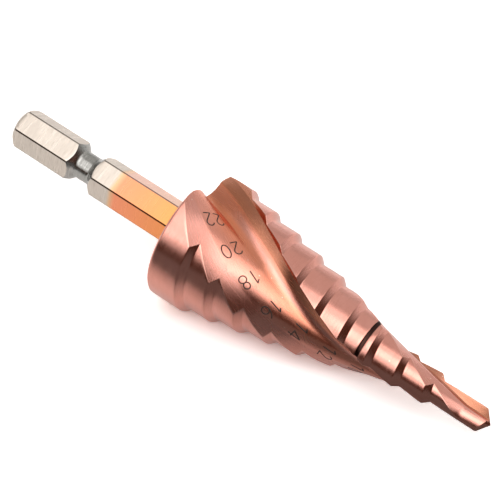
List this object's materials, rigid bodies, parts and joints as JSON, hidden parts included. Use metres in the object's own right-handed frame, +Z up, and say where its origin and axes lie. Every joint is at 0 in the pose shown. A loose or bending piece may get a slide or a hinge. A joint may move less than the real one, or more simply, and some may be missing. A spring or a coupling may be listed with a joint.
{
  "type": "step drill bit",
  "caption": "Conical stepped drill bit with helical chip flutes, a ground point and a hexagonal quick-change shank with a ball groove, lying on its side.",
  "frame": {"origin": "on the surface the drill lies on, under the middle of its box", "axes": "+X towards the drill's point, along the surface; +Z up. The drill's own axis dips 5.31 degrees towards the point, because the bit rests on its widest step and two cutting corners"},
  "size_m": [0.09, 0.022, 0.0208],
  "materials": {
    "coated_steel": "ground high-speed steel with a thin rose-copper coating; the rear of the shank is bare steel"
  },
  "bodies": {
    "root": {"step_drill": "coated_steel"}
  },
  "joints": []
}
